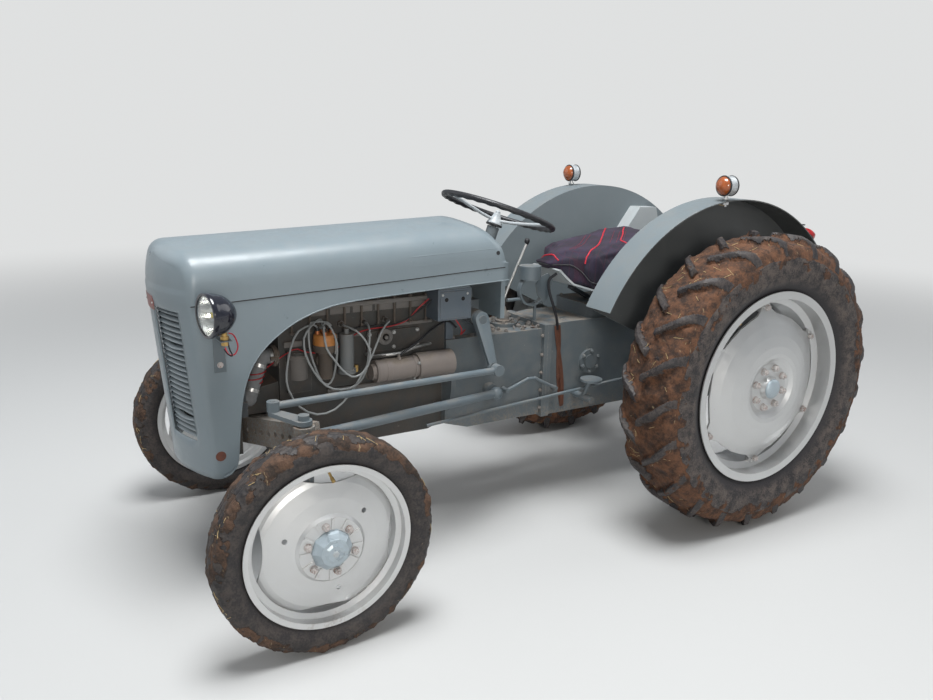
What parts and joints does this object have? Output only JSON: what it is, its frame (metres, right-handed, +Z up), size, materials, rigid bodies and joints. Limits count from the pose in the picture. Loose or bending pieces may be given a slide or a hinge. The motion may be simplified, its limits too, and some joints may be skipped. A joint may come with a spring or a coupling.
{
  "type": "vintage tractor",
  "caption": "Vintage light farm tractor with a tipping bonnet, open engine, pan seat, steered front wheels, lugged rear tyres and a three-point hitch",
  "frame": {"origin": "middle of the bounding box on the ground", "axes": "+Y towards the rear, -Y the way it drives, +X its left side, +Z up"},
  "size_m": [1.528, 2.915, 1.3823],
  "materials": {
    "sheet_paint": "satin, worn",
    "casting_paint": "matte, dusty",
    "muddy_steel": "dry mud over paint",
    "dark_sheet": "satin",
    "rubber_hose": "matte, dusty",
    "amber_plastic": "aged",
    "filter_paint": "satin",
    "starter_case": "worn",
    "exhaust_rust": "rusty",
    "bright_steel": "worn",
    "lamp_silver": "dull",
    "tail_red": "clear",
    "strap_brown": "dry, cracked",
    "seat_cover": "woven",
    "pan_paint": "chalky",
    "lamp_dark": "gloss",
    "wheel_black": "worn",
    "tyre_mud": "dry mud",
    "wheel_silver": "satin",
    "lead_grey": "silvery sleeve"
  },
  "bodies": {
    "chassis": {"front_support": "casting_paint", "front_axle": "muddy_steel", "radiator": "dark_sheet", "hoses": "rubber_hose", "fan": "dark_sheet", "engine": "casting_paint", "distributor": "amber_plastic", "spark_leads": "lead_grey", "oil_filter": "filter_paint", "starter": "starter_case", "generator": "casting_paint", "manifold": "exhaust_rust", "exhaust": "exhaust_rust", "air_cleaner": "casting_paint", "dash": "dark_sheet", "fuel_tank": "sheet_paint", "regulator_box": "sheet_paint", "gearbox": "casting_paint", "rear_housing": "casting_paint", "axle_housings": "casting_paint", "steering_box": "casting_paint", "gear_lever": "bright_steel", "controls": "casting_paint", "seat_spring": "dark_sheet", "seat_pan": "pan_paint", "seat_cushion": "seat_cover", "rear_box": "pan_paint", "canister": "sheet_paint", "fender_left": "sheet_paint", "fender_right": "sheet_paint", "fender_lamps": "lamp_silver", "tail_lamp": "tail_red", "strap": "strap_brown", "radius_rods": "sheet_paint"},
    "bonnet_shell": {"bonnet": "sheet_paint", "grille": "sheet_paint", "headlamp_left": "lamp_dark", "headlamp_right": "lamp_dark"},
    "steering_wheel": {"steering_wheel": "wheel_black"},
    "knuckle_left": {"knuckle_left": "casting_paint"},
    "knuckle_right": {"knuckle_right": "casting_paint"},
    "drop_arm_left": {"drop_arm_left": "sheet_paint"},
    "drop_arm_right": {"drop_arm_right": "sheet_paint"},
    "drag_link_left": {"drag_link_left": "sheet_paint"},
    "drag_link_right": {"drag_link_right": "sheet_paint"},
    "front_wheel_left": {"front_tyre_left": "tyre_mud", "front_wheel_left": "wheel_silver"},
    "front_wheel_right": {"front_tyre_right": "tyre_mud", "front_wheel_right": "wheel_silver"},
    "rear_wheel_left": {"rear_tyre_left": "tyre_mud", "rear_wheel_left": "wheel_silver"},
    "rear_wheel_right": {"rear_tyre_right": "tyre_mud", "rear_wheel_right": "wheel_silver"},
    "lift_arms": {"lift_arms": "casting_paint"},
    "lower_link_left": {"lower_link_left": "casting_paint"},
    "lower_link_right": {"lower_link_right": "casting_paint"},
    "lift_rod_left": {"lift_rod_left": "bright_steel"},
    "lift_rod_right": {"lift_rod_right": "bright_steel"}
  },
  "joints": [
    {"name": "bonnet_tilt", "type": "hinge", "parent": "chassis", "child": "bonnet_shell", "pos_m": [0, -1.3165, 0.507], "axis": [1, 0, 0], "range_deg": [0, 75]},
    {"name": "steer", "type": "hinge", "parent": "chassis", "child": "knuckle_left", "pos_m": [0.472, -1.1165, 0.6], "axis": [0, 0, 1], "range_deg": [-34, 34]},
    {"name": "steer_right", "type": "hinge", "parent": "chassis", "child": "knuckle_right", "pos_m": [-0.472, -1.1165, 0.6], "axis": [0, 0, 1], "range_deg": [-34.5, 34.5]},
    {"name": "steering_wheel_turn", "type": "hinge", "parent": "chassis", "child": "steering_wheel", "pos_m": [0, -0.1405, 1.221], "axis": [0, 0.3371, 0.9415], "range_deg": [-413, 413]},
    {"name": "drop_arm_left_swing", "type": "hinge", "parent": "chassis", "child": "drop_arm_left", "pos_m": [0.228, -0.3505, 0.857], "axis": [1, 0, 0], "range_deg": [-23, 23]},
    {"name": "drop_arm_right_swing", "type": "hinge", "parent": "chassis", "child": "drop_arm_right", "pos_m": [-0.228, -0.3505, 0.857], "axis": [1, 0, 0], "range_deg": [-23, 23]},
    {"name": "drag_link_left_swing", "type": "hinge", "parent": "knuckle_left", "child": "drag_link_left", "pos_m": [0.355, -1.1735, 0.69], "axis": [0, 0, 1], "range_deg": [-33, 33]},
    {"name": "drag_link_right_swing", "type": "hinge", "parent": "knuckle_right", "child": "drag_link_right", "pos_m": [-0.355, -1.1735, 0.69], "axis": [0, 0, 1], "range_deg": [-33, 33]},
    {"name": "front_wheel_left_spin", "type": "hinge", "parent": "knuckle_left", "child": "front_wheel_left", "pos_m": [0.632, -1.1165, 0.341], "axis": [1, 0, 0], "continuous": true},
    {"name": "front_wheel_right_spin", "type": "hinge", "parent": "knuckle_right", "child": "front_wheel_right", "pos_m": [-0.632, -1.1165, 0.341], "axis": [1, 0, 0], "continuous": true},
    {"name": "rear_wheel_left_spin", "type": "hinge", "parent": "chassis", "child": "rear_wheel_left", "pos_m": [0.626, 0.6615, 0.59], "axis": [1, 0, 0], "continuous": true},
    {"name": "rear_wheel_right_spin", "type": "hinge", "parent": "chassis", "child": "rear_wheel_right", "pos_m": [-0.626, 0.6615, 0.59], "axis": [1, 0, 0], "continuous": true},
    {"name": "lower_link_left_lift", "type": "hinge", "parent": "chassis", "child": "lower_link_left", "pos_m": [0.197, 0.7215, 0.42], "axis": [1, 0, 0], "range_deg": [-18, 32]},
    {"name": "lower_link_right_lift", "type": "hinge", "parent": "chassis", "child": "lower_link_right", "pos_m": [-0.197, 0.7215, 0.42], "axis": [1, 0, 0], "range_deg": [-18, 32]},
    {"name": "lift_arm_swing", "type": "hinge", "parent": "chassis", "child": "lift_arms", "pos_m": [0, 0.8115, 0.835], "axis": [1, 0, 0], "range_deg": [-26, 45]},
    {"name": "lift_rod_left_swing", "type": "hinge", "parent": "lower_link_left", "child": "lift_rod_left", "pos_m": [0.24, 1.0515, 0.42], "axis": [1, 0, 0], "range_deg": [-33, 19]},
    {"name": "lift_rod_right_swing", "type": "hinge", "parent": "lower_link_right", "child": "lift_rod_right", "pos_m": [-0.24, 1.0515, 0.42], "axis": [1, 0, 0], "range_deg": [-33, 19]}
  ],
  "couplings": [
    {"joint": "steer_right", "follows": "steer", "ratio": 1},
    {"joint": "steering_wheel_turn", "follows": "steer", "ratio": 12},
    {"joint": "drop_arm_left_swing", "follows": "steer", "ratio": -0.657},
    {"joint": "drop_arm_right_swing", "follows": "steer", "ratio": 0.657},
    {"joint": "drag_link_left_swing", "follows": "steer", "ratio": -0.933},
    {"joint": "drag_link_right_swing", "follows": "steer", "ratio": -0.933},
    {"joint": "lower_link_right_lift", "follows": "lower_link_left_lift", "ratio": 1},
    {"joint": "lift_arm_swing", "follows": "lower_link_left_lift", "ratio": 1.375},
    {"joint": "lift_rod_left_swing", "follows": "lower_link_left_lift", "ratio": -1},
    {"joint": "lift_rod_right_swing", "follows": "lower_link_left_lift", "ratio": -1}
  ]
}
